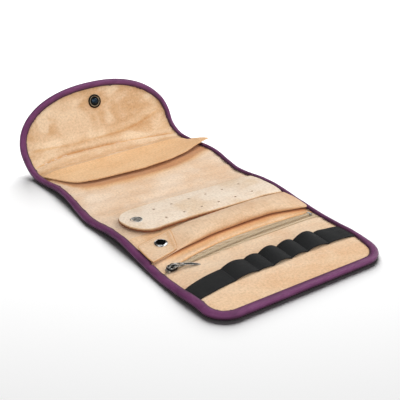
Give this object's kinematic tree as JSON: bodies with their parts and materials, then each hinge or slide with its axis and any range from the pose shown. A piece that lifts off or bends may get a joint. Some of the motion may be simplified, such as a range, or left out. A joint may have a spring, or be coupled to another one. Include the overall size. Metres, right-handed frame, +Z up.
{
  "type": "folding jewelry case",
  "caption": "Folding jewelry case lying open: padded panels with suede lining, zip pocket, elastic loops, earring tab, ring bar, slip pocket and curled snap flap.",
  "frame": {"origin": "middle of the open case on the surface that it lies on", "axes": "+X across the width to the right, +Y from the front edge with the elastic loops to the curled flap, +Z up"},
  "size_m": [0.188, 0.3712, 0.075],
  "materials": {
    "outer_fabric": "purple woven cotton",
    "binding_fabric": "purple satin twill tape",
    "suede_lining": "tan microsuede",
    "pale_suede": "pale microsuede",
    "foam": "soft wadding",
    "zip_tape": "beige woven tape",
    "zip_coil": "beige nylon coil",
    "elastic": "black knitted elastic",
    "nickel": "polished nickel",
    "gunmetal": "dark gunmetal",
    "antique_silver": "antique silver"
  },
  "bodies": {
    "middle_panel": {"middle_shell": "outer_fabric", "middle_padding": "foam", "middle_lining": "suede_lining", "middle_binding_left": "binding_fabric", "middle_binding_right": "binding_fabric", "earring_tab_stud": "nickel", "ring_bar_stud": "nickel", "closing_stud": "nickel"},
    "front_panel": {"front_shell": "outer_fabric", "front_padding": "foam", "zip_pocket_bag": "suede_lining", "front_lining": "suede_lining", "front_lining_strip": "suede_lining", "front_binding": "binding_fabric", "zip_tape_near": "zip_tape", "zip_tape_far": "zip_tape", "zip_coil": "zip_coil", "zip_stop_left": "antique_silver", "zip_stop_right": "antique_silver", "elastic_band": "elastic"},
    "back_panel": {"back_shell": "outer_fabric", "back_padding": "foam", "back_lining": "suede_lining", "back_binding_left": "binding_fabric", "back_binding_right": "binding_fabric"},
    "flap": {"flap_shell": "outer_fabric", "flap_padding": "foam", "flap_lining": "suede_lining", "flap_binding": "binding_fabric", "flap_socket": "gunmetal", "flap_cap": "nickel"},
    "pocket_lip": {"pocket_lip": "suede_lining"},
    "earring_tab": {"earring_tab_backing": "suede_lining", "earring_tab_face": "pale_suede", "earring_tab_socket": "nickel", "earring_tab_cap": "nickel"},
    "ring_bar": {"ring_bar_cover": "suede_lining", "ring_bar_filling": "foam", "ring_bar_socket": "nickel", "ring_bar_cap": "nickel"},
    "zip_slider": {"zip_slider": "antique_silver"},
    "zip_pull": {"zip_pull": "antique_silver"}
  },
  "joints": [
    {"name": "front_fold", "type": "hinge", "parent": "middle_panel", "child": "front_panel", "pos_m": [0, -0.08059, 0.0166], "axis": [-1, 0, 0], "range_deg": [0, 180]},
    {"name": "back_fold", "type": "hinge", "parent": "middle_panel", "child": "back_panel", "pos_m": [0, 0.0279, 0.019], "axis": [1, 0, 0], "range_deg": [0, 155]},
    {"name": "flap_fold", "type": "hinge", "parent": "back_panel", "child": "flap", "pos_m": [0, 0.1329, 0.0059], "axis": [-1, 0, 0], "range_deg": [-60, 30]},
    {"name": "pocket_lip_lift", "type": "hinge", "parent": "back_panel", "child": "pocket_lip", "pos_m": [0, 0.1304, 0.0049], "axis": [-1, 0, 0], "range_deg": [0, 12]},
    {"name": "earring_tab_lift", "type": "hinge", "parent": "middle_panel", "child": "earring_tab", "pos_m": [0.084, -0.01559, 0.0094], "axis": [0, -1, 0], "range_deg": [-160, 0]},
    {"name": "ring_bar_lift", "type": "hinge", "parent": "middle_panel", "child": "ring_bar", "pos_m": [0.084, -0.05609, 0.00792], "axis": [0, -1, 0], "range_deg": [-85, 0]},
    {"name": "zip_slide", "type": "slide", "parent": "front_panel", "child": "zip_slider", "axis": [0.9983, 0.0575, -0.002], "range_m": [0, 0.158]},
    {"name": "zip_pull_swing", "type": "hinge", "parent": "zip_slider", "child": "zip_pull", "pos_m": [-0.07887, -0.09883, 0.00908], "axis": [0.2538, 0.9667, -0.0341], "range_deg": [-150, 0]}
  ]
}
